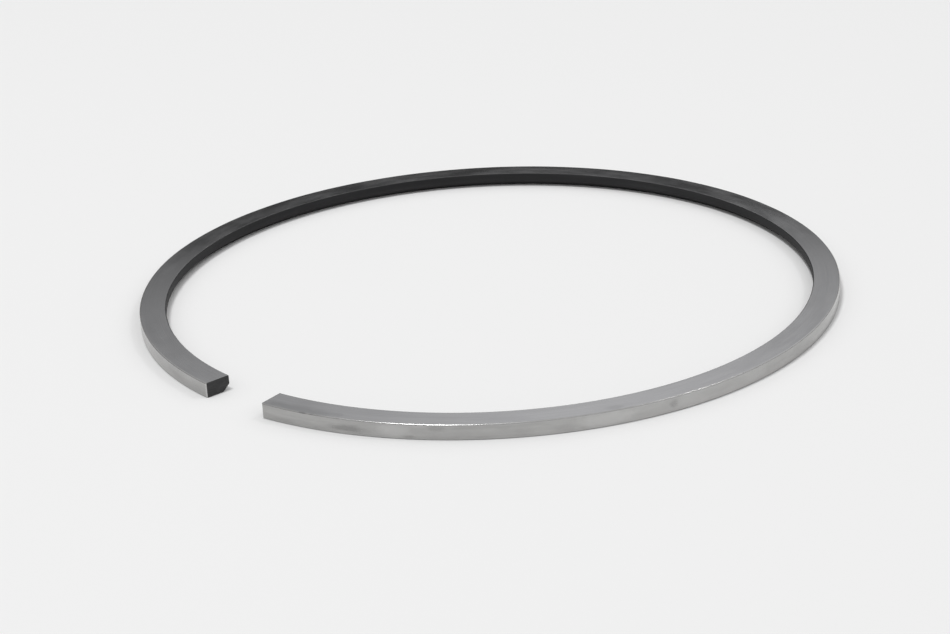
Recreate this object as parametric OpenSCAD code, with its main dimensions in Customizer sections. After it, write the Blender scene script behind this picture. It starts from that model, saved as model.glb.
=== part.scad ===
// Compression piston ring in its free state, lying on its lower side.
// One split ring: two ground sides, a smooth running face with rounded edges,
// an internal bevel on the lower inner edge and square-cut ends with a gap between them.
// Origin: on the ring axis, at the lower side. +Z runs up the axis and the end gap faces -Y.

/* [Cylinder] */
// Bore of the cylinder that the ring is made for
cylinder_d = 100; // [60:0.5:160]
// Gap left between the ends when the ring is closed in that bore
closed_gap = 0.4; // [0.1:0.05:1.5]

/* [Free shape] */
// Gap between the ends of the free ring, measured along the middle of its section
free_gap = 10.6; // [4:0.1:24]

/* [Section] */
// Height between the two ground sides
ring_h = 2.2; // [1.5:0.05:5]
// Radial width from the inner face to the running face
ring_w = 3.85; // [2.5:0.05:6.5]
// Rounding of the upper and lower edges of the running face
face_edge_r = 0.2; // [0.05:0.05:0.5]
// Height of the internal bevel on the lower inner edge
bevel_h = 0.95; // [0.3:0.05:1.1]
// Radial depth of the internal bevel
bevel_w = 1.1; // [0.3:0.05:1.5]
// Break of the upper inner edge, the same in height and in depth
inner_break = 0.1; // [0.05:0.05:0.3]

/* [Ends] */
// Break of the corner between each end and the running face
end_break = 0.15; // [0.05:0.05:0.5]

/* [Hidden] */
$fn = 180;
// Distance that a cut runs past the surface it breaks
over = 1;
// Length of the middle fibre, which bending leaves the same in the closed and in the free ring
fibre_l = PI * (cylinder_d - ring_w) - closed_gap;
// Radius of the middle fibre once the ends have sprung apart
fibre_r = (fibre_l + free_gap) / (2 * PI);
// Radius of the running face of the free ring
outer_r = fibre_r + ring_w / 2;
// Radius of the inner face of the free ring
inner_r = fibre_r - ring_w / 2;
// Angle between the two ends, seen from the axis
gap_angle = free_gap / fibre_r * 180 / PI;

// What rounds one corner of the running face, drawn from the centre of its arc
module face_edge_cut() {
  difference() {
    square(face_edge_r + over);
    circle(r = face_edge_r);
  }
}

// What the internal bevel takes off, drawn from the lower inner corner of the section
module bevel_cut() {
  slope = bevel_h / bevel_w;
  polygon([
    [-over, -over],
    [bevel_w + over / slope, -over],
    [-over, bevel_h + over * slope]
  ]);
}

// What breaks the upper inner edge, drawn from the upper inner corner of the section
module inner_break_cut() {
  polygon([
    [-over, over],
    [-over, -inner_break - over],
    [inner_break + over, over]
  ]);
}

// Section of the ring, with the radius along X and the height along Y
module section() {
  difference() {
    translate([inner_r, 0])
      square([ring_w, ring_h]);
    translate([outer_r - face_edge_r, ring_h - face_edge_r])
      face_edge_cut();
    translate([outer_r - face_edge_r, face_edge_r])
      mirror([0, 1])
        face_edge_cut();
    translate([inner_r, 0])
      bevel_cut();
    translate([inner_r, ring_h])
      inner_break_cut();
  }
}

// What breaks the running-face corner of the end on the +X side of the gap
module end_break_cut() {
  rotate([0, 0, gap_angle / 2 - 90])
    translate([outer_r, 0, -over])
      linear_extrude(height = ring_h + 2 * over)
        polygon([
          [-end_break - over, -over],
          [over, -over],
          [over, end_break + over]
        ]);
}

// The whole ring: its section swept about the axis from one end to the other
module piston_ring() {
  color([0.56, 0.56, 0.57])
    difference() {
      rotate([0, 0, gap_angle / 2 - 90])
        rotate_extrude(angle = 360 - gap_angle)
          section();
      end_break_cut();
      mirror([1, 0, 0])
        end_break_cut();
    }
}

piston_ring();
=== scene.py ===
# %% [markdown]
# # A split piston ring
#
# A piston ring is a thin band of cast iron, cut through at one place so that it can spring.
# It rides in a groove of the piston and presses outwards on the cylinder wall.
# Loose on a table it is slightly wider than the cylinder, and its ends stand apart.
# This lesson dresses the exact CAD ring: it rebuilds the same form with finer edges,
# gives each surface the finish of the tool that made it, and lights it on a pale floor.
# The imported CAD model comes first, because every size below has to agree with it.

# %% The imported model
from math import atan2, cos, degrees, hypot, pi, radians, sin, tan

import bpy
from mathutils import Matrix, Vector


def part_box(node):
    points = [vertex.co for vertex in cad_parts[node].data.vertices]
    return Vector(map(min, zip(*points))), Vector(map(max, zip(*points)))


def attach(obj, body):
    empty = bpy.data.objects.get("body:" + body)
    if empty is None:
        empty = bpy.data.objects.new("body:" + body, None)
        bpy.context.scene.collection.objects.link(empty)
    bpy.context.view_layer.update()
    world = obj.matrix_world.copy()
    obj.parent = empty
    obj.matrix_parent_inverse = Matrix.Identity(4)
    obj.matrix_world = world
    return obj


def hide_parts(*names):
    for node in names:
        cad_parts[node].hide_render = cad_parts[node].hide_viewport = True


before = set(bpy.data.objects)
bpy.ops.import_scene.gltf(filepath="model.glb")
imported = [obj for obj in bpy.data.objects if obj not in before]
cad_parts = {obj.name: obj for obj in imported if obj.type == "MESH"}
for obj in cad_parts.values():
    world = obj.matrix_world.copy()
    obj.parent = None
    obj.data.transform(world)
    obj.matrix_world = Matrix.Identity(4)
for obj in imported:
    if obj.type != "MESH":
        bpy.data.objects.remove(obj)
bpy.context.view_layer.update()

scene = bpy.context.scene
scene.view_settings.view_transform = "Standard"
MM = 0.001

# %% [markdown]
# ## The sizes
#
# A ring is specified closed, in the bore that it is made for, but it is drawn free.
# Bending leaves the length of its middle fibre the same, so the free radius follows from
# the bore, the radial width and the two gaps. Working them out here, as the CAD source does,
# keeps one set of drawing numbers. The last line compares the result with the CAD box.

# %% The free ring from the closed one
CYLINDER_D = 100 * MM
CLOSED_GAP = 0.4 * MM
FREE_GAP = 10.6 * MM
RING_H = 2.2 * MM
RING_W = 3.85 * MM

fibre_l = pi * (CYLINDER_D - RING_W) - CLOSED_GAP
fibre_r = (fibre_l + FREE_GAP) / (2 * pi)
outer_r = fibre_r + RING_W / 2
inner_r = fibre_r - RING_W / 2
gap_angle = FREE_GAP / fibre_r
_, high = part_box("piston_ring")
print(f"free radius {outer_r / MM:.3f} mm, in the CAD box {high[0] / MM:.3f} mm")
print(f"angle of the end gap {degrees(gap_angle):.2f} degrees")

# %% [markdown]
# ## The viewer
#
# The picture looks at the ring from one side of its gap, which faces -Y in the part.
# Camera and lamps are easier to place as the viewer sees them: to the right, away and up.
# One turn about the axis leads from the viewer's directions to those of the part,
# so that everything below can be written down the easy way.

# %% Directions of the viewer
VIEW_TURN = radians(43.26)
turn = Matrix.Rotation(VIEW_TURN, 3, "Z")


def from_viewer(right, away, up):
    """A direction of the viewer, in the axes of the part."""
    return turn @ Vector((right, away, up))


print("towards the viewer is", [round(v, 3) for v in from_viewer(0, -1, 0)], "in the part")

# %% [markdown]
# ## The camera
#
# The picture was taken from a little above the table with a long lens, slightly tilted.
# Matching the round edges of the ring to its picture gives the place of the camera in ring radii,
# its downward pitch, its roll and its focal length. A Track To constraint could aim the camera,
# but it would lose the roll, so its three axes are worked out instead.

# %% The camera of the picture
CAMERA_IN_RADII = (-0.0448, -6.2754, 2.4410)
PITCH = radians(22.193)
ROLL = radians(-3.1015)
PICTURE_W = 950
FOCAL_PX = 2339
SENSOR_MM = 36
NEAREST, FARTHEST = 0.01, 20

forward = Vector((0, cos(PITCH), -sin(PITCH)))
level_right = Vector((1, 0, 0))
level_up = level_right.cross(forward)
camera_right = cos(ROLL) * level_right + sin(ROLL) * level_up
camera_up = cos(ROLL) * level_up - sin(ROLL) * level_right
facing = turn @ Matrix((camera_right, camera_up, -forward)).transposed()
top_centre = Vector((0, 0, RING_H))
camera_place = top_centre + from_viewer(*CAMERA_IN_RADII) * outer_r

camera_data = bpy.data.cameras.new("picture_camera")
camera_data.sensor_width = SENSOR_MM
camera_data.lens = FOCAL_PX / PICTURE_W * SENSOR_MM
camera_data.clip_start = NEAREST
camera_data.clip_end = FARTHEST
camera = bpy.data.objects.new("picture_camera", camera_data)
scene.collection.objects.link(camera)
camera.matrix_world = Matrix.Translation(camera_place) @ facing.to_4x4()
scene.camera = camera
print(f"camera {camera_place.length / MM:.0f} mm from the origin, lens {camera_data.lens:.1f} mm")

# %% [markdown]
# ## The section
#
# Cut across, the ring is a small rectangle: two ground sides, a running face and an inner face.
# The corners tell how it was made. The two outer ones are rounded by lapping, the lower inner one
# is cut off by a bevel that makes the closed ring twist a little, and the upper inner one is just
# broken. They are listed in order round the section, each with its own rounding.

# %% The corners of the section
FACE_EDGE_R = 0.2 * MM
BEVEL_H = 0.95 * MM
BEVEL_W = 1.1 * MM
INNER_BREAK = 0.1 * MM
TURNED_EDGE_R = 0.05 * MM
BROKEN_EDGE_R = 0.03 * MM

# Each corner: radius from the axis, height, rounding, steps of it, whether lapping wears it
section_corners = [
    (inner_r + BEVEL_W, 0, TURNED_EDGE_R, 3, False),
    (outer_r, 0, FACE_EDGE_R, 8, True),
    (outer_r, RING_H, FACE_EDGE_R, 8, True),
    (inner_r + INNER_BREAK, RING_H, BROKEN_EDGE_R, 3, False),
    (inner_r, RING_H - INNER_BREAK, BROKEN_EDGE_R, 3, False),
    (inner_r, BEVEL_H, TURNED_EDGE_R, 3, False),
]
worn_corners = sum(corner[-1] for corner in section_corners)
print(len(section_corners), "corners,", worn_corners, "of them worn by lapping")

# %% [markdown]
# ## Rounding the corners
#
# No edge of a real ring is quite sharp, and it is the rounding that catches the light.
# A Bevel modifier could round the finished ring. Rounding the section before it is swept
# needs no modifier and gives exactly the radius that was asked for. Each rounded point also
# remembers the sharp corner that it came from, so that wear can change the rounding later.
# A support point on the straight at either side of an arc keeps the shading of flat faces flat.

# %% A closed chain of points for the section
SUPPORT = 0.04 * MM


def rounded_corner(before, corner, after, radius, steps):
    """Points along the arc that rounds one corner, with a support point at either side of it."""
    back, ahead = (before - corner).normalized(), (after - corner).normalized()
    half = back.angle(ahead) / 2
    reach = radius / tan(half)
    centre = corner + (back + ahead).normalized() * (radius / sin(half))
    start, end = corner + back * reach - centre, corner + ahead * reach - centre
    first = atan2(start.y, start.x)
    sweep = (atan2(end.y, end.x) - first + pi) % (2 * pi) - pi
    angles = [first + sweep * i / steps for i in range(steps + 1)]
    arc = [centre + Vector((cos(a), sin(a))) * radius for a in angles]
    return [corner + back * (reach + SUPPORT)] + arc + [corner + ahead * (reach + SUPPORT)]


sharp = [Vector(corner[:2]) for corner in section_corners]
section_points = []
for i, (_, _, radius, steps, worn) in enumerate(section_corners):
    arc = rounded_corner(sharp[i - 1], sharp[i], sharp[(i + 1) % len(sharp)], radius, steps)
    section_points += [(point, sharp[i], float(worn)) for point in arc]
count = len(section_points)
print(count, "points round the section")

# %% [markdown]
# ## Helpers for node trees
#
# Both the shape and the finishes are node trees, and every node is made the same way:
# choose its kind, set its options, then give each input a number or join it to another output.
# They could be joined by hand in the node editor, but a script makes the same tree each time.
# One short function makes any node, and three more make the kinds that are needed most:
# Math, Vector Math and Map Range.

# %% One node at a time
def put(tree, kind, inputs=None, **options):
    """Adds a node to a tree and returns it; an input that is given a socket is linked to it."""
    node = tree.nodes.new(kind)
    for name, value in options.items():
        setattr(node, name, value)
    for name, value in (inputs or {}).items():
        if isinstance(value, bpy.types.NodeSocket):
            tree.links.new(value, node.inputs[name])
        else:
            node.inputs[name].default_value = value
    return node


def work_out(tree, operation, first, second=0.0, third=0.0):
    """The output of one Math node, for shader trees and geometry trees alike."""
    values = {0: first, 1: second, 2: third}
    return put(tree, "ShaderNodeMath", values, operation=operation).outputs[0]


def arrow(tree, operation, *values):
    """The outputs of one Vector Math node."""
    return put(tree, "ShaderNodeVectorMath", dict(enumerate(values)), operation=operation).outputs


def spread(tree, value, low_in, high_in, low_out=0.0, high_out=1.0):
    """Maps a value from one range to another and keeps it inside."""
    inputs = {"Value": value, "From Min": low_in, "From Max": high_in}
    inputs |= {"To Min": low_out, "To Max": high_out}
    return put(tree, "ShaderNodeMapRange", inputs, clamp=True).outputs["Result"]


# %% [markdown]
# ## Where a point lies on the ring
#
# Grinding, lapping and turning all leave marks that run round the ring, so the finishes need
# a place along the ring, a radius and a height, not X, Y and Z. A UV map could hold them.
# A node group that works them out from Object coordinates needs no map and has no seam on the ring:
# the angle is counted from the side opposite the gap, which puts its jump inside the gap.
# All three come out in millimetres.

# %% Place along the ring, radius and height
def ring_place_group():
    """A node group that turns Object coordinates into a place on the ring."""
    group = bpy.data.node_groups.new("ring_place", "ShaderNodeTree")
    group.interface.new_socket("Place", in_out="OUTPUT", socket_type="NodeSocketVector")
    coords = put(group, "ShaderNodeTexCoord").outputs["Object"]
    in_mm = put(group, "ShaderNodeVectorMath", {0: coords, 3: 1 / MM}, operation="SCALE").outputs[0]
    xyz = put(group, "ShaderNodeSeparateXYZ", {0: in_mm}).outputs
    angle = work_out(group, "ARCTAN2", xyz["X"], xyz["Y"])
    along = work_out(group, "MULTIPLY", angle, fibre_r / MM)
    flat = put(group, "ShaderNodeCombineXYZ", {"X": xyz["X"], "Y": xyz["Y"]}).outputs[0]
    radius = arrow(group, "LENGTH", flat)["Value"]
    three = {"X": along, "Y": radius, "Z": xyz["Z"]}
    put(group, "NodeGroupOutput", {"Place": put(group, "ShaderNodeCombineXYZ", three).outputs[0]})
    return group


ring_place = ring_place_group()
print(ring_place.name, "has", len(ring_place.nodes), "nodes")

# %% [markdown]
# ## Marks and colours
#
# Every finish is made of the same few things: soft random marks that are stretched the way the tool
# went, a blend of two such patterns, and two colours mixed by the result.
# With a small function for each, a finish below can be read like a recipe.

# %% Random marks, blends and mixed colours
# Noise runs from 0 to 1, but nearly all of it lies in this range
NOISE_SPAN = (0.3, 0.7)


def marks(tree, place, per_mm, detail=2.0, roughness=0.5, distortion=0.0):
    """Soft random marks from 0 to 1, so many per mm along the ring, outwards and upwards."""
    inputs = {"Vector": arrow(tree, "MULTIPLY", place, per_mm)[0], "Scale": 1.0}
    inputs |= {"Detail": detail, "Roughness": roughness, "Distortion": distortion}
    return put(tree, "ShaderNodeTexNoise", inputs).outputs["Fac"]


def blend(tree, first, second, share):
    """A share of the first pattern and the rest of the second."""
    rest = work_out(tree, "MULTIPLY", second, 1 - share)
    return work_out(tree, "MULTIPLY_ADD", first, share, rest)


def blend_colours(tree, factor, first, second):
    """A mix of two colours by a factor from 0 to 1."""
    node = put(tree, "ShaderNodeMix", data_type="RGBA")
    for name, value in (("Factor_Float", factor), ("A_Color", first), ("B_Color", second)):
        socket = next(s for s in node.inputs if s.identifier == name)
        if isinstance(value, bpy.types.NodeSocket):
            tree.links.new(value, socket)
        else:
            socket.default_value = (*value, 1.0)
    return next(s for s in node.outputs if s.identifier == "Result_Color")


# %% [markdown]
# ## A finish
#
# A finish is a material with one Principled shader. What is the same all over the surface,
# such as how metallic it is, is set on the shader itself. What changes from place to place comes
# through links: a colour, a roughness, and a height that a Bump node turns into a tilt
# of the surface. Painted pictures could do the same, but they blur when the camera comes close.

# %% A new finish and its patterns
def new_finish(name, **constants):
    """A material with one Principled shader whose constant values sit on its own sockets."""
    material = bpy.data.materials.new(name)
    material.use_nodes = True
    tree = material.node_tree
    shader = tree.nodes["Principled BSDF"]
    for socket, value in constants.items():
        shader.inputs[socket.replace("_", " ")].default_value = value
    place = put(tree, "ShaderNodeGroup", node_tree=ring_place).outputs["Place"]
    return material, tree, shader, place


def dress(tree, shader, colour, roughness, height, depth):
    """Joins the patterns of a finish to its shader; depth is how deep the marks are, in metres."""
    bump = put(tree, "ShaderNodeBump", {"Strength": 1.0, "Distance": depth, "Height": height})
    tree.links.new(colour, shader.inputs["Base Color"])
    tree.links.new(roughness, shader.inputs["Roughness"])
    tree.links.new(bump.outputs["Normal"], shader.inputs["Normal"])


# %% [markdown]
# ## Spots given one by one
#
# Random marks make a surface lively, but a smudge that is really there has a place.
# Each one is a soft ellipse on the unrolled surface, with a ragged rim, so that it looks wiped
# and not stamped. It could be painted on a picture, but five values are enough: its place along
# the ring from the side opposite the gap, its radius or height, its length and its breadth,
# all in mm, and its strength. Spots on the upper side are placed by radius,
# and those on the running face and its edges by height.

# %% Soft ellipses with a ragged rim
RADIUS, HEIGHT = 1, 2
RAGGED = 0.9
RIM_BEGINS, RIM_ENDS = 0.95, 1.6


def spots_mask(tree, place, rim, spots, across):
    """The strength inside a spot and 0 outside; across is RADIUS or HEIGHT, what places them."""
    mask = 0.0
    for along, middle, length, breadth, strength in spots:
        centre, scale = [along, 0, 0], [2 / length, 0, 0]
        centre[across], scale[across] = middle, 2 / breadth
        # The lower side is too far down for a spot of the upper side to show there
        if across == RADIUS:
            centre[HEIGHT], scale[HEIGHT] = RING_H / MM, 1.0
        offset = arrow(tree, "SUBTRACT", place, centre)[0]
        far = arrow(tree, "LENGTH", arrow(tree, "MULTIPLY", offset, scale)[0])["Value"]
        ragged = work_out(tree, "MULTIPLY_ADD", rim, RAGGED, far)
        spot = spread(tree, ragged, RIM_BEGINS, RIM_ENDS, strength, 0.0)
        mask = work_out(tree, "MAXIMUM", spot, mask)
    return mask


# %% [markdown]
# ## The ground sides
#
# The two flat sides are ground and then lapped, so they are an even grey with a soft mirror in it.
# Close up they carry fine arcs along the ring, and two listed patches are a darker grey.
# An anisotropic shader could stretch the mirror along the arcs, but the arcs are so shallow
# that it would hardly show. Marks that are long along the ring and narrow across it are enough:
# many per millimetre outwards, few along.

# %% Lapped sides
SIDE_DARKER, SIDE_LIGHTER = (0.415, 0.416, 0.427), (0.485, 0.486, 0.497)
# The grey of the two listed darker patches
SIDE_PATCH_GREY = (0.34, 0.341, 0.35)
SIDE_CONTRAST, SIDE_ROUGHNESS = (0.38, 0.62), (0.07, 0.11)
PATCH_SPAN = (0.35, 0.7)
SCRATCH_ROUGHNESS, SCRATCH_DEPTH = 0.02, 0.5
SIDE_MARK_DEPTH = 0.3e-6
# Along the ring, radius, length, breadth, strength
DARKER_SIDE_PATCHES = (
    (145.5, 50.9, 13.0, 2.2, 0.8),
    (103.6, 50.9, 2.6, 1.4, 0.5),
)

side_finish, tree, shader, place = new_finish("ground_side", Metallic=1.0)
arcs = marks(tree, place, per_mm=(0.05, 7.0, 0.0), detail=3.0)
scratches = marks(tree, place, per_mm=(0.9, 14.0, 0.0), detail=2.0)
patches = marks(tree, place, per_mm=(0.16, 0.45, 0.3), detail=3.0, roughness=0.55)
tone = spread(tree, blend(tree, arcs, patches, share=0.45), *SIDE_CONTRAST)
colour = blend_colours(tree, tone, SIDE_DARKER, SIDE_LIGHTER)
rim = marks(tree, place, per_mm=(0.5, 1.2, 0.0), detail=3.0)
darker_patch_mask = spots_mask(tree, place, rim, DARKER_SIDE_PATCHES, RADIUS)
colour = blend_colours(tree, darker_patch_mask, colour, SIDE_PATCH_GREY)
satin = spread(tree, patches, *PATCH_SPAN, *SIDE_ROUGHNESS)
satin = work_out(tree, "MULTIPLY_ADD", scratches, SCRATCH_ROUGHNESS, satin)
ground = work_out(tree, "MULTIPLY_ADD", scratches, SCRATCH_DEPTH, arcs)
dress(tree, shader, colour, satin, ground, SIDE_MARK_DEPTH)
print(side_finish.name, "has", len(tree.nodes), "nodes")

# %% [markdown]
# ## The running face
#
# The outer face is lapped in a sleeve until it fits the cylinder. Fine lines run round it,
# and handling has left soft lighter and darker patches, a few millimetres long.
# They could all be left to chance, but some dull smudges and some brighter patches
# can be seen clearly, so those are listed.
# A smudge dulls the shine as well as the colour, so one mask drives both.

# %% Lapped running face with its smudges
FACE_DARKER, FACE_LIGHTER = (0.37, 0.367, 0.362), (0.453, 0.45, 0.443)
FACE_BRIGHTER, FACE_SMUDGED = (0.515, 0.512, 0.505), (0.285, 0.282, 0.278)
FACE_CONTRAST, FACE_ROUGHNESS = (0.36, 0.64), (0.16, 0.23)
SMUDGE_COVER, SMUDGE_ROUGHNESS = 0.75, 0.12
FACE_MARK_DEPTH = 0.4e-6
# Along the ring, height, length, breadth, strength
SMUDGES = (
    (138.0, 0.88, 5.6, 0.95, 1.0),
    (126.5, 1.60, 3.0, 0.90, 0.6),
    (129.9, 0.42, 1.8, 0.40, 0.6),
    (95.6, 1.20, 1.4, 1.20, 0.6),
)
# Patches that are brighter, written the same way
BRIGHTER_PATCHES = (
    (104.6, 1.10, 10.0, 2.4, 0.8),
    (131.8, 1.20, 4.4, 1.9, 0.6),
    (92.0, 1.20, 34.0, 6.0, 0.35),
)

face_finish, tree, shader, place = new_finish("running_face", Metallic=1.0)
lines = marks(tree, place, per_mm=(0.03, 0.0, 12.0), detail=3.0)
hatching = marks(tree, place, per_mm=(0.8, 0.0, 7.0), detail=2.0)
blots = marks(tree, place, per_mm=(0.2, 0.0, 0.7), detail=3.0, roughness=0.55, distortion=0.3)
rim = marks(tree, place, per_mm=(0.9, 0.0, 1.6), detail=3.0)
smudge = spots_mask(tree, place, rim, SMUDGES, HEIGHT)
# A mask of the listed brighter patches
brighter_mask = spots_mask(tree, place, rim, BRIGHTER_PATCHES, HEIGHT)
tone = spread(tree, blend(tree, lines, blots, share=0.35), *FACE_CONTRAST)
bare = blend_colours(tree, tone, FACE_DARKER, FACE_LIGHTER)
bare = blend_colours(tree, brighter_mask, bare, FACE_BRIGHTER)
cover = work_out(tree, "MULTIPLY", smudge, SMUDGE_COVER)
colour = blend_colours(tree, cover, bare, FACE_SMUDGED)
shine = spread(tree, hatching, *NOISE_SPAN, *FACE_ROUGHNESS)
shine = work_out(tree, "MULTIPLY_ADD", smudge, SMUDGE_ROUGHNESS, shine)
dress(tree, shader, colour, shine, work_out(tree, "ADD", lines, hatching), FACE_MARK_DEPTH)
print(face_finish.name, "has", len(tree.nodes), "nodes")

# %% [markdown]
# ## The rounded edges
#
# Where the running face meets the sides, lapping and handling have worn the corner.
# It is the same metal with a livelier shine, and its grey, a little lighter than that of the faces
# beside it, is painted light. A few small dark nicks break it, and two have a place.
# Nicks could be cut into the mesh, but these are so shallow that only their darker colour shows.

# %% Rubbed edges, their grey painted a little lighter
# The lighter grey of the edge metal is painted light; the nicks are real marks
EDGE_METAL_PAINTED_LIGHT, EDGE_NICK = (0.50, 0.498, 0.494), (0.24, 0.24, 0.24)
EDGE_ROUGHNESS = (0.21, 0.28)
NICK_SPAN = (0.66, 0.76)
EDGE_MARK_DEPTH = 0.4e-6
# Along the ring, height, length, breadth, strength
NICKS = (
    (144.4, 2.10, 1.2, 0.30, 0.55),
    (143.1, 2.08, 0.8, 0.25, 0.4),
)

edge_finish, tree, shader, place = new_finish("rubbed_edge_painted_light", Metallic=1.0)
rubs = marks(tree, place, per_mm=(1.0, 2.5, 2.5), detail=3.0, roughness=0.6)
placed = spots_mask(tree, place, rubs, NICKS, HEIGHT)
nicked = work_out(tree, "MAXIMUM", spread(tree, rubs, *NICK_SPAN), placed)
colour = blend_colours(tree, nicked, EDGE_METAL_PAINTED_LIGHT, EDGE_NICK)
shine = spread(tree, rubs, *NOISE_SPAN, *EDGE_ROUGHNESS)
dress(tree, shader, colour, shine, rubs, EDGE_MARK_DEPTH)
print(edge_finish.name, "has", len(tree.nodes), "nodes")

# %% [markdown]
# ## The dark inner face
#
# The inner face and its bevel are not ground after the ring is treated,
# so they keep the thin, nearly black phosphate coat, which is crystalline and dull.
# A dark metal would still mirror the room. The coat is no bare metal, so Metallic is 0
# and the specular level is low. Turning marks show faintly through it.

# %% Dark coat
COAT_DARKER, COAT_LIGHTER = (0.02, 0.02, 0.021), (0.045, 0.045, 0.046)
COAT_CONTRAST, COAT_ROUGHNESS = (0.35, 0.68), (0.5, 0.62)
CRYSTAL_DEPTH = 0.6
COAT_MARK_DEPTH = 3e-6

dark_finish, tree, shader, place = new_finish("dark_coat", Metallic=0.0, Specular_IOR_Level=0.08)
crystals = marks(tree, place, per_mm=(22.0, 22.0, 22.0), detail=3.0, roughness=0.65)
turning = marks(tree, place, per_mm=(0.02, 0.0, 7.0), detail=2.0)
wear = marks(tree, place, per_mm=(0.06, 0.4, 0.8), detail=3.0)
tone = spread(tree, blend(tree, crystals, wear, share=0.6), *COAT_CONTRAST)
colour = blend_colours(tree, tone, COAT_DARKER, COAT_LIGHTER)
dull = spread(tree, wear, *NOISE_SPAN, *COAT_ROUGHNESS)
grain = work_out(tree, "MULTIPLY_ADD", crystals, CRYSTAL_DEPTH, turning)
dress(tree, shader, colour, dull, grain, COAT_MARK_DEPTH)
print(dark_finish.name, "has", len(tree.nodes), "nodes")

# %% [markdown]
# ## The cut ends
#
# A thin wheel cuts the gap, and its edge leaves fine lines across the section, from the inner face
# outwards. The dark grey of the ends, a shade lighter than the inner face, is painted shade.
# The lines are narrow in height and long in radius, which is the other way round from the sides.

# %% Cut ends
# Dark greys of the ends: painted shade; the wheel lines are real marks
END_SHADE_DARKER, END_SHADE_LIGHTER = (0.038, 0.038, 0.039), (0.066, 0.066, 0.067)
CUT_CONTRAST, CUT_ROUGHNESS = (0.36, 0.66), (0.45, 0.58)
CUT_MARK_DEPTH = 2e-6

end_finish, tree, shader, place = new_finish("cut_end", Metallic=0.0, Specular_IOR_Level=0.12)
wheel = marks(tree, place, per_mm=(6.0, 0.5, 11.0), detail=3.0)
stains = marks(tree, place, per_mm=(1.0, 1.1, 1.6), detail=3.0, roughness=0.6)
tone = spread(tree, blend(tree, wheel, stains, share=0.5), *CUT_CONTRAST)
colour = blend_colours(tree, tone, END_SHADE_DARKER, END_SHADE_LIGHTER)
dull = spread(tree, stains, *NOISE_SPAN, *CUT_ROUGHNESS)
dress(tree, shader, colour, dull, wheel, CUT_MARK_DEPTH)
print(end_finish.name, "has", len(tree.nodes), "nodes")

# %% [markdown]
# ## Bending a bar
#
# The ring's shape follows one rule: the same section all the way round, stopped short at the gap.
# The Spin tool or a Screw modifier could turn the section about the axis, but Geometry Nodes
# can also wear the edges and break the ends on the way. The tree makes a straight bar,
# as rolled stock would be, then bends it, so the ends stay exactly square to the ring.
# Its sizes and finishes are named inputs, and the wear has a fixed seed.

# %% The inputs of the tree
# Keeps the dressed ring just inside the CAD box
INSIDE_BY = 0.001 * MM

finishes = {
    "Sides": side_finish,
    "Running Face": face_finish,
    "Edges": edge_finish,
    "Dark Coat": dark_finish,
    "Cut Ends": end_finish,
}
bar_sizes = {
    "Steps Around": ("NodeSocketInt", 560),
    "End Gap": ("NodeSocketFloat", gap_angle),
    "Fibre Length": ("NodeSocketFloat", fibre_l),
    "Running Radius": ("NodeSocketFloat", outer_r - INSIDE_BY),
    "End Break": ("NodeSocketFloat", 0.15 * MM),
    "End Rounding": ("NodeSocketFloat", 0.04 * MM),
    "Edge Wear": ("NodeSocketFloat", 0.2),
    "Wear per Turn": ("NodeSocketFloat", 26.0),
    "Wear Seed": ("NodeSocketFloat", 4.0),
}
bar_sizes |= {name: ("NodeSocketMaterial", finish) for name, finish in finishes.items()}

bar = bpy.data.node_groups.new("bent_bar", "GeometryNodeTree")
bar.interface.new_socket("Geometry", in_out="OUTPUT", socket_type="NodeSocketGeometry")
bar.interface.new_socket("Section", in_out="INPUT", socket_type="NodeSocketGeometry")
for name, (kind, _) in bar_sizes.items():
    bar.interface.new_socket(name, in_out="INPUT", socket_type=kind)
given = put(bar, "NodeGroupInput").outputs
print("inputs of the tree:", ", ".join(bar_sizes))

# %% [markdown]
# ## The straight bar
#
# Extruding the section would make a bar too, but a sweep takes the number of steps as an input.
# Curve to Mesh sweeps the section along a line from 0 to 1 on X and closes both ends.
# That leaves the radius of each point on Y and its height on Z, which is all that the bend needs.

# %% Section along a line
ends_of_line = {"Start": (0, 0, 0), "End": (1, 0, 0)}
line = put(bar, "GeometryNodeCurvePrimitiveLine", ends_of_line).outputs["Curve"]
stepped = {"Curve": line, "Count": given["Steps Around"]}
way = put(bar, "GeometryNodeResampleCurve", stepped).outputs["Curve"]
outline = put(bar, "GeometryNodeMeshToCurve", {"Mesh": given["Section"]}).outputs["Curve"]
sweep_inputs = {"Curve": way, "Profile Curve": outline, "Fill Caps": True}
swept = put(bar, "GeometryNodeCurveToMesh", sweep_inputs).outputs["Mesh"]
print(len(bar.nodes), "nodes for the straight bar")

# %% [markdown]
# ## How far round
#
# Each point needs its angle about the axis and its distance from the nearer end.
# With equal steps, the small roundings at the ends would need many more steps all the way round.
# The way along the bar is eased in and out instead, so the steps crowd towards the ends.

# %% Angle and distance to the nearer end
# The middle of the gap lies on the -Y axis
GAP_MIDDLE = 1.5 * pi

position = put(bar, "GeometryNodeInputPosition").outputs[0]
at = put(bar, "ShaderNodeSeparateXYZ", {0: position}).outputs
eased = put(bar, "ShaderNodeMapRange", {"Value": at["X"]}, interpolation_type="SMOOTHSTEP")
eased = eased.outputs["Result"]
to_end = work_out(bar, "MINIMUM", eased, work_out(bar, "SUBTRACT", 1.0, eased))
to_end = work_out(bar, "MULTIPLY", to_end, given["Fibre Length"])
half_gap = work_out(bar, "MULTIPLY", given["End Gap"], 0.5)
first_end = work_out(bar, "SUBTRACT", GAP_MIDDLE, half_gap)
covered = work_out(bar, "SUBTRACT", 2 * pi, given["End Gap"])
angle = work_out(bar, "SUBTRACT", first_end, work_out(bar, "MULTIPLY", eased, covered))
print(len(bar.nodes), "nodes up to the angle")

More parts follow.
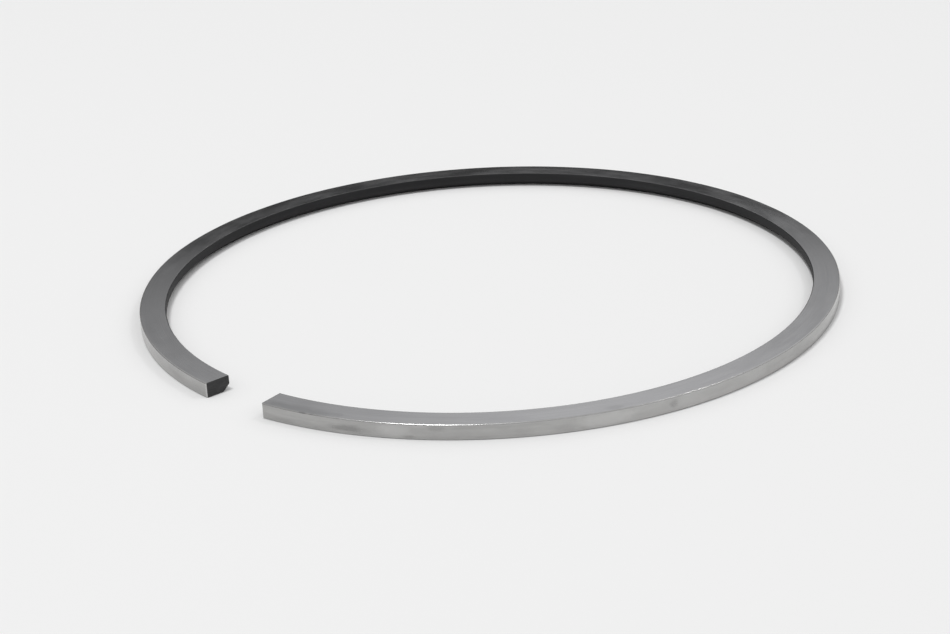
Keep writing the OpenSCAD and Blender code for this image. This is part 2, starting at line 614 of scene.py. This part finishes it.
# %% [markdown]
# ## Worn outer edges
#
# Lapping never rounds an edge evenly, so its gleam swells and thins along the ring.
# A Displace modifier with a noise would move the flat faces as well. Here a slow random value,
# which differs between the upper and the lower edge, pulls only the rounded points
# towards the sharp corner that they came from. Only the two outer edges are marked as worn.

# %% Wear of the rounding
WEAR_SPAN = (0.35, 0.65)
# How far apart the noise is read, for each metre of height and for each seed
EDGES_APART = 17 / MM
SEEDS_APART = 31.7

remembered = {"Name": "corner"}
corner = put(bar, "GeometryNodeInputNamedAttribute", remembered, data_type="FLOAT_VECTOR")
corner = put(bar, "ShaderNodeSeparateXYZ", {0: corner.outputs["Attribute"]}).outputs
worn = put(bar, "GeometryNodeInputNamedAttribute", {"Name": "worn"}, data_type="FLOAT")
worn = worn.outputs["Attribute"]
turns = work_out(bar, "MULTIPLY", eased, given["Wear per Turn"])
turns = work_out(bar, "ADD", turns, work_out(bar, "MULTIPLY", corner["Y"], EDGES_APART))
turns = work_out(bar, "ADD", turns, work_out(bar, "MULTIPLY", given["Wear Seed"], SEEDS_APART))
noise_inputs = {"W": turns, "Scale": 1.0, "Detail": 3.0}
wander = put(bar, "ShaderNodeTexNoise", noise_inputs, noise_dimensions="1D").outputs["Fac"]
wander = spread(bar, wander, *WEAR_SPAN)
shrink = work_out(bar, "MULTIPLY", work_out(bar, "MULTIPLY", wander, given["Edge Wear"]), worn)
keep = work_out(bar, "SUBTRACT", 1.0, shrink)


def pulled_to(corner_value, value):
    """A radius or a height, drawn towards that of the sharp corner."""
    offset = work_out(bar, "SUBTRACT", value, corner_value)
    return work_out(bar, "ADD", corner_value, work_out(bar, "MULTIPLY", offset, keep))


radius = pulled_to(corner["X"], at["Y"])
height = pulled_to(corner["Y"], at["Z"])
print(len(bar.nodes), "nodes up to the wear")

# %% [markdown]
# ## The ends
#
# The corner of each end at the running face is broken with a file, because a sharp one would
# scrape the cylinder. Every other edge of the ends is only slightly rounded.
# The break is a limit on the radius that falls towards the end. The rounding moves points inwards
# along a quarter circle, against the way the bar's surface faces.

# %% Broken and rounded ends
def into_last(stretch):
    """How far a point lies within the last stretch before an end, and 0 further away."""
    return work_out(bar, "MAXIMUM", work_out(bar, "SUBTRACT", stretch, to_end), 0.0)


limit = work_out(bar, "SUBTRACT", given["Running Radius"], into_last(given["End Break"]))
radius = work_out(bar, "MINIMUM", radius, limit)

rounding = given["End Rounding"]
into_squared = work_out(bar, "POWER", into_last(rounding), 2.0)
rise_squared = work_out(bar, "SUBTRACT", work_out(bar, "POWER", rounding, 2.0), into_squared)
tuck = work_out(bar, "SUBTRACT", rounding, work_out(bar, "SQRT", rise_squared))
bar_normal = put(bar, "GeometryNodeInputNormal").outputs["Normal"]
out = arrow(bar, "NORMALIZE", arrow(bar, "MULTIPLY", bar_normal, (0, 1, 1))[0])[0]
out = put(bar, "ShaderNodeSeparateXYZ", {0: out}).outputs
radius = work_out(bar, "SUBTRACT", radius, work_out(bar, "MULTIPLY", out["Y"], tuck))
height = work_out(bar, "SUBTRACT", height, work_out(bar, "MULTIPLY", out["Z"], tuck))
print(len(bar.nodes), "nodes up to the ends")

# %% [markdown]
# ## The bend
#
# Every point now has an angle, a radius and a height, so one Set Position bends the bar.
# A Simple Deform modifier can bend a bar too, but here the angle and the radius come straight
# from the sizes of the ring, with nothing left to tune.

# %% Bar to ring
bent = {
    "X": work_out(bar, "MULTIPLY", radius, work_out(bar, "COSINE", angle)),
    "Y": work_out(bar, "MULTIPLY", radius, work_out(bar, "SINE", angle)),
    "Z": height,
}
bent = put(bar, "ShaderNodeCombineXYZ", bent).outputs[0]
moved = {"Geometry": swept, "Position": bent}
ring = put(bar, "GeometryNodeSetPosition", moved).outputs["Geometry"]
smooth = {"Geometry": ring, "Shade Smooth": True}
ring = put(bar, "GeometryNodeSetShadeSmooth", smooth).outputs["Geometry"]
ring = put(bar, "GeometryNodeRealizeInstances", {"Geometry": ring}).outputs["Geometry"]
print(len(bar.nodes), "nodes up to the bend")

# %% [markdown]
# ## Which tool made which face
#
# The finishes could be given face by face, but the way a face points already tells them apart.
# Facing up or down is a ground side, facing away from the axis is the running face, facing the axis
# is the inner face with its bevel, and facing along the ring is an end. The rounded outer edges
# are what is left over, so their finish is put on first and the others go over it.
# The small roundings between the ends and the sides go with the ends and take their painted shade,
# so the upward slope counts only half there.

# %% A finish for each face
# How squarely a face points up or outwards, or inwards, to count as a side or one of the faces
SQUARE_ON = 0.985
FACING_IN = -0.2
# The most that an end may lean across the ring, and how much of its upward slope counts
ALONG = 0.45
UP_COUNTS = 0.5

normal = put(bar, "GeometryNodeInputNormal").outputs["Normal"]
bent_place = put(bar, "GeometryNodeInputPosition").outputs[0]
away = arrow(bar, "NORMALIZE", arrow(bar, "MULTIPLY", bent_place, (1, 1, 0))[0])[0]
outward = arrow(bar, "DOT_PRODUCT", normal, away)["Value"]
upward = put(bar, "ShaderNodeSeparateXYZ", {0: normal}).outputs["Z"]
slope = work_out(bar, "MULTIPLY", work_out(bar, "POWER", upward, 2.0), UP_COUNTS)
across = work_out(bar, "ADD", work_out(bar, "POWER", outward, 2.0), slope)
chosen = {
    "Edges": None,
    "Sides": work_out(bar, "GREATER_THAN", work_out(bar, "ABSOLUTE", upward), SQUARE_ON),
    "Running Face": work_out(bar, "GREATER_THAN", outward, SQUARE_ON),
    "Dark Coat": work_out(bar, "LESS_THAN", outward, FACING_IN),
    "Cut Ends": work_out(bar, "LESS_THAN", across, ALONG),
}
for name, faces in chosen.items():
    inputs = {"Geometry": ring, "Material": given[name]} | ({"Selection": faces} if faces else {})
    ring = put(bar, "GeometryNodeSetMaterial", inputs).outputs["Geometry"]
put(bar, "NodeGroupOutput", {"Geometry": ring})
print(len(bar.nodes), "nodes in the whole tree")

# %% [markdown]
# ## The section as an object
#
# The object starts as the section alone, a closed chain of mesh edges. Both signs are turned,
# because a sweep along X puts the X of a section on -Y and its Y on -Z.
# A curve would be swept just as well, but the points of a mesh can carry values,
# and the wear needs two: the sharp corner of each point and whether it wears.

# %% A chain of edges with two values on its points
section_mesh = bpy.data.meshes.new("ring_section")
chain = [(i, (i + 1) % count) for i in range(count)]
section_mesh.from_pydata([(-p.x, -p.y, 0) for p, _, _ in section_points], chain, [])
section_mesh.attributes.new("corner", "FLOAT_VECTOR", "POINT")
section_mesh.attributes.new("worn", "FLOAT", "POINT")
corner_values, worn_values = section_mesh.attributes["corner"], section_mesh.attributes["worn"]
for i, (_, spot, worn_value) in enumerate(section_points):
    corner_values.data[i].vector = (spot.x, spot.y, 0)
    worn_values.data[i].value = worn_value
split_ring = bpy.data.objects.new("split_ring", section_mesh)
scene.collection.objects.link(split_ring)
print(len(section_mesh.edges), "edges in the chain")

# %% [markdown]
# ## From section to ring
#
# The modifier gets each input by the identifier of its socket, makes the ring once,
# and the result is kept as a plain mesh, which every program can read.
# Edges of more than the given angle stay sharp to the eye, and all flatter ones are shaded smooth.

# %% The tree at work
SMOOTH_UNDER = radians(28)

modifier = split_ring.modifiers.new("bent_bar", "NODES")
modifier.node_group = bar
for item in bar.interface.items_tree:
    if item.item_type == "SOCKET" and item.in_out == "INPUT" and item.name in bar_sizes:
        modifier[item.identifier] = bar_sizes[item.name][1]

depsgraph = bpy.context.evaluated_depsgraph_get()
made = split_ring.evaluated_get(depsgraph)
ring_mesh = bpy.data.meshes.new_from_object(made, depsgraph=depsgraph)
split_ring.modifiers.clear()
split_ring.data = ring_mesh
ring_mesh.name = "split_ring"
ring_mesh.set_sharp_from_angle(angle=SMOOTH_UNDER)
for spare in ("corner", "worn"):
    if spare in ring_mesh.attributes:
        ring_mesh.attributes.remove(ring_mesh.attributes[spare])
places = [v.co for v in ring_mesh.vertices]
print(len(places), "points on the ring")

# %% [markdown]
# ## Measuring the ring
#
# A closed mesh that faces outwards has a positive volume. It is the sum of the wedges between the
# origin and each triangle, and a wedge is a sixth of the triple product of its corners.
# It should be close to the volume of the CAD solid, which is 2395.6 cubic mm.

# %% Triangles, volume and faces of each finish
ring_mesh.calc_loop_triangles()
wedges = [[places[v] for v in triangle.vertices] for triangle in ring_mesh.loop_triangles]
volume = sum(a.dot(b.cross(c)) for a, b, c in wedges) / 6
print(f"ring: {len(wedges)} triangles, volume {volume / MM**3:.1f} mm3")
for number, finish in enumerate(ring_mesh.materials):
    faces = sum(face.material_index == number for face in ring_mesh.polygons)
    print(f"  {finish.name}: {faces} faces")

# %% [markdown]
# ## A map of the unrolled skin
#
# The finishes need no map here, but a copy of the ring for another program has them painted into
# one square picture, and there every face needs a place of its own. An automatic layout makes two
# large thin circles of the sides and wastes most of the picture. The skin of a bent bar unrolls
# into one long band almost without stretch, so the band is cut into strips of equal length,
# which lie one above the other with the two ends over them.

# %% The size of the strips
STRIPS = 5
SPACE = 0.35 * MM

round_section = [0.0]
for i in range(count):
    side_length = (section_points[(i + 1) % count][0] - section_points[i][0]).length
    round_section.append(round_section[-1] + side_length)
strip_l, strip_h = fibre_l / STRIPS, round_section[-1] + SPACE
way_along = [(atan2(p.x, p.y) + pi - gap_angle / 2) * fibre_r for p in places[::count]]
longest_step = max(b - a for a, b in zip(way_along, way_along[1:]))
map_size = max(strip_l + longest_step + 2 * SPACE, STRIPS * strip_h + RING_H + 2 * SPACE)
print(f"{STRIPS} strips of {strip_l / MM:.1f} by {round_section[-1] / MM:.1f} mm")
print(f"square of {map_size / MM:.1f} mm")

# %% [markdown]
# ## Filling the map
#
# The sweep numbers the points in order, section after section, so the number of a point tells both
# its step along the ring and its place round the section. A face whose points share one step
# is an end. A face that closes the section would run back across the whole strip,
# so there the first point of the section counts as the one after the last.

# %% Each face to its place
def on_end(point, last):
    """The place of a point of the first or the last end, which lie over the strips."""
    out = hypot(point.x, point.y) - inner_r
    across = RING_W + SPACE + out if last else RING_W - out
    return SPACE + across, SPACE + STRIPS * strip_h + point.z


def on_strip(step, number, strip):
    """The place of a point by its step along the ring and its number round the section."""
    return SPACE + way_along[step] - strip * strip_l, (strip + 1) * strip_h - round_section[number]


skin_map = ring_mesh.uv_layers.new(name="OFBake")
for face in ring_mesh.polygons:
    steps, numbers = zip(*(divmod(v, count) for v in face.vertices))
    strip = min(int(way_along[min(steps)] / strip_l), STRIPS - 1)
    over_seam = {0, count - 1} <= set(numbers)
    for loop, vertex, step, number in zip(face.loop_indices, face.vertices, steps, numbers):
        if min(steps) == max(steps):
            spot = on_end(places[vertex], step > 0)
        else:
            spot = on_strip(step, count if over_seam and number == 0 else number, strip)
        skin_map.uv[loop].vector = (spot[0] / map_size, spot[1] / map_size)
print(len(skin_map.uv), "corners of faces on the map")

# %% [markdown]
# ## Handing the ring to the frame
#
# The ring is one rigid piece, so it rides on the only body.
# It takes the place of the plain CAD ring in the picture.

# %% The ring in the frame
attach(split_ring, "root")
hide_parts("piston_ring")
print(split_ring.name, "rides on the only body and stands for the CAD ring")

# %% [markdown]
# ## The floor
#
# The ring lies on a plain pale floor. A dull surface with no mirror in it takes soft shadows best.
# The floor is large, because the running face mirrors it far out to the sides.

# %% The pale floor
FLOOR_SIZE = 6.0
FLOOR_GREY = 0.88
FLOOR_ROUGHNESS = 0.9

half = FLOOR_SIZE / 2
floor_corners = [(-half, -half, 0), (half, -half, 0), (half, half, 0), (-half, half, 0)]
floor_mesh = bpy.data.meshes.new("floor")
floor_mesh.from_pydata(floor_corners, [], [(0, 1, 2, 3)])
floor = bpy.data.objects.new("floor", floor_mesh)
scene.collection.objects.link(floor)
paper = bpy.data.materials.new("pale_floor")
paper.use_nodes = True
paper_shader = paper.node_tree.nodes["Principled BSDF"]
paper_shader.inputs["Base Color"].default_value = (FLOOR_GREY, FLOOR_GREY, FLOOR_GREY, 1.0)
paper_shader.inputs["Roughness"].default_value = FLOOR_ROUGHNESS
paper_shader.inputs["Specular IOR Level"].default_value = 0.0
floor_mesh.materials.append(paper)
print(f"floor {FLOOR_SIZE:.0f} m wide")

# %% [markdown]
# ## The room
#
# Polished metal is a picture of what surrounds it, so the room matters more than the colour
# of the metal. It could be built of panels, but a world whose brightness depends on the elevation
# does the same without them. The room has pale walls with a dark ledge round it, low down.
# The near part of the ring mirrors the wall above the ledge and is light,
# and the far part mirrors the ledge and is dark. To the left of the viewer it is a little dimmer.

# %% The light of the room
# Sine of the elevation, and how bright the room is there
ROOM_LIGHT = (
    (0.0, 0.40), (0.27, 0.45), (0.295, 0.064), (0.337, 0.052), (0.345, 0.11), (0.353, 0.52),
    (0.375, 0.52), (0.39, 0.60), (0.42, 0.87), (0.5, 0.86), (0.65, 0.68), (1.0, 0.64),
)
# The share of the light on the viewer's left, and the range in which it rises to the whole
DIM_LEFT = 0.74
DIM_SPAN = (-0.09, 0.04)

world = bpy.data.worlds.new("room")
scene.world = world
world.use_nodes = True
sky = world.node_tree
direction = put(sky, "ShaderNodeTexCoord").outputs["Generated"]
upwards = put(sky, "ShaderNodeSeparateXYZ", {0: direction}).outputs["Z"]
ramp = put(sky, "ShaderNodeValToRGB", {"Fac": upwards})
stops = ramp.color_ramp.elements
while len(stops) < len(ROOM_LIGHT):
    stops.new(1.0)
for stop, (where, light) in zip(stops, ROOM_LIGHT):
    stop.position = where
    stop.color = (light, light, light, 1.0)
rightwards = arrow(sky, "DOT_PRODUCT", direction, from_viewer(1, 0, 0))["Value"]
background = sky.nodes["Background"]
sky.links.new(ramp.outputs["Color"], background.inputs["Color"])
strength = spread(sky, rightwards, *DIM_SPAN, DIM_LEFT, 1.0)
sky.links.new(strength, background.inputs["Strength"])
print(len(stops), "levels of light from the floor to the ceiling")

# %% [markdown]
# ## The lamps
#
# Two lamps put gleams on the rounded outer edge, one near the middle and a faint one to the right.
# A gleam sits where the edge faces half way between lamp and viewer, so the direction of the lamp
# sets its place and the length of the lamp its length. Round lamps would let it fade out slowly.
# Rectangles that lie level to the viewer let it begin and end cleanly.

# %% The lamps
# Each lamp: where it is as seen by the viewer, its length and its breadth in metres, and its watts
LAMPS = {
    "ceiling_lamp": ((-0.33, -0.16, 1.56), 0.36, 0.24, 9.8),
    "side_lamp": ((0.92, 0.11, 1.305), 0.14, 0.14, 1.6),
}
for name, (place_seen, length, breadth, watts) in LAMPS.items():
    lamp_data = bpy.data.lights.new(name, "AREA")
    lamp_data.shape = "RECTANGLE"
    lamp_data.size, lamp_data.size_y = length, breadth
    lamp_data.energy = watts
    lamp = bpy.data.objects.new(name, lamp_data)
    scene.collection.objects.link(lamp)
    spot = from_viewer(*place_seen)
    back = spot.normalized()
    side_on = from_viewer(1, 0, 0)
    side_on = (side_on - back * side_on.dot(back)).normalized()
    lamp_axes = Matrix((side_on, back.cross(side_on), back)).transposed()
    lamp.matrix_world = Matrix.Translation(spot) @ lamp_axes.to_4x4()
    print(f"{name}: {spot.length:.2f} m away")
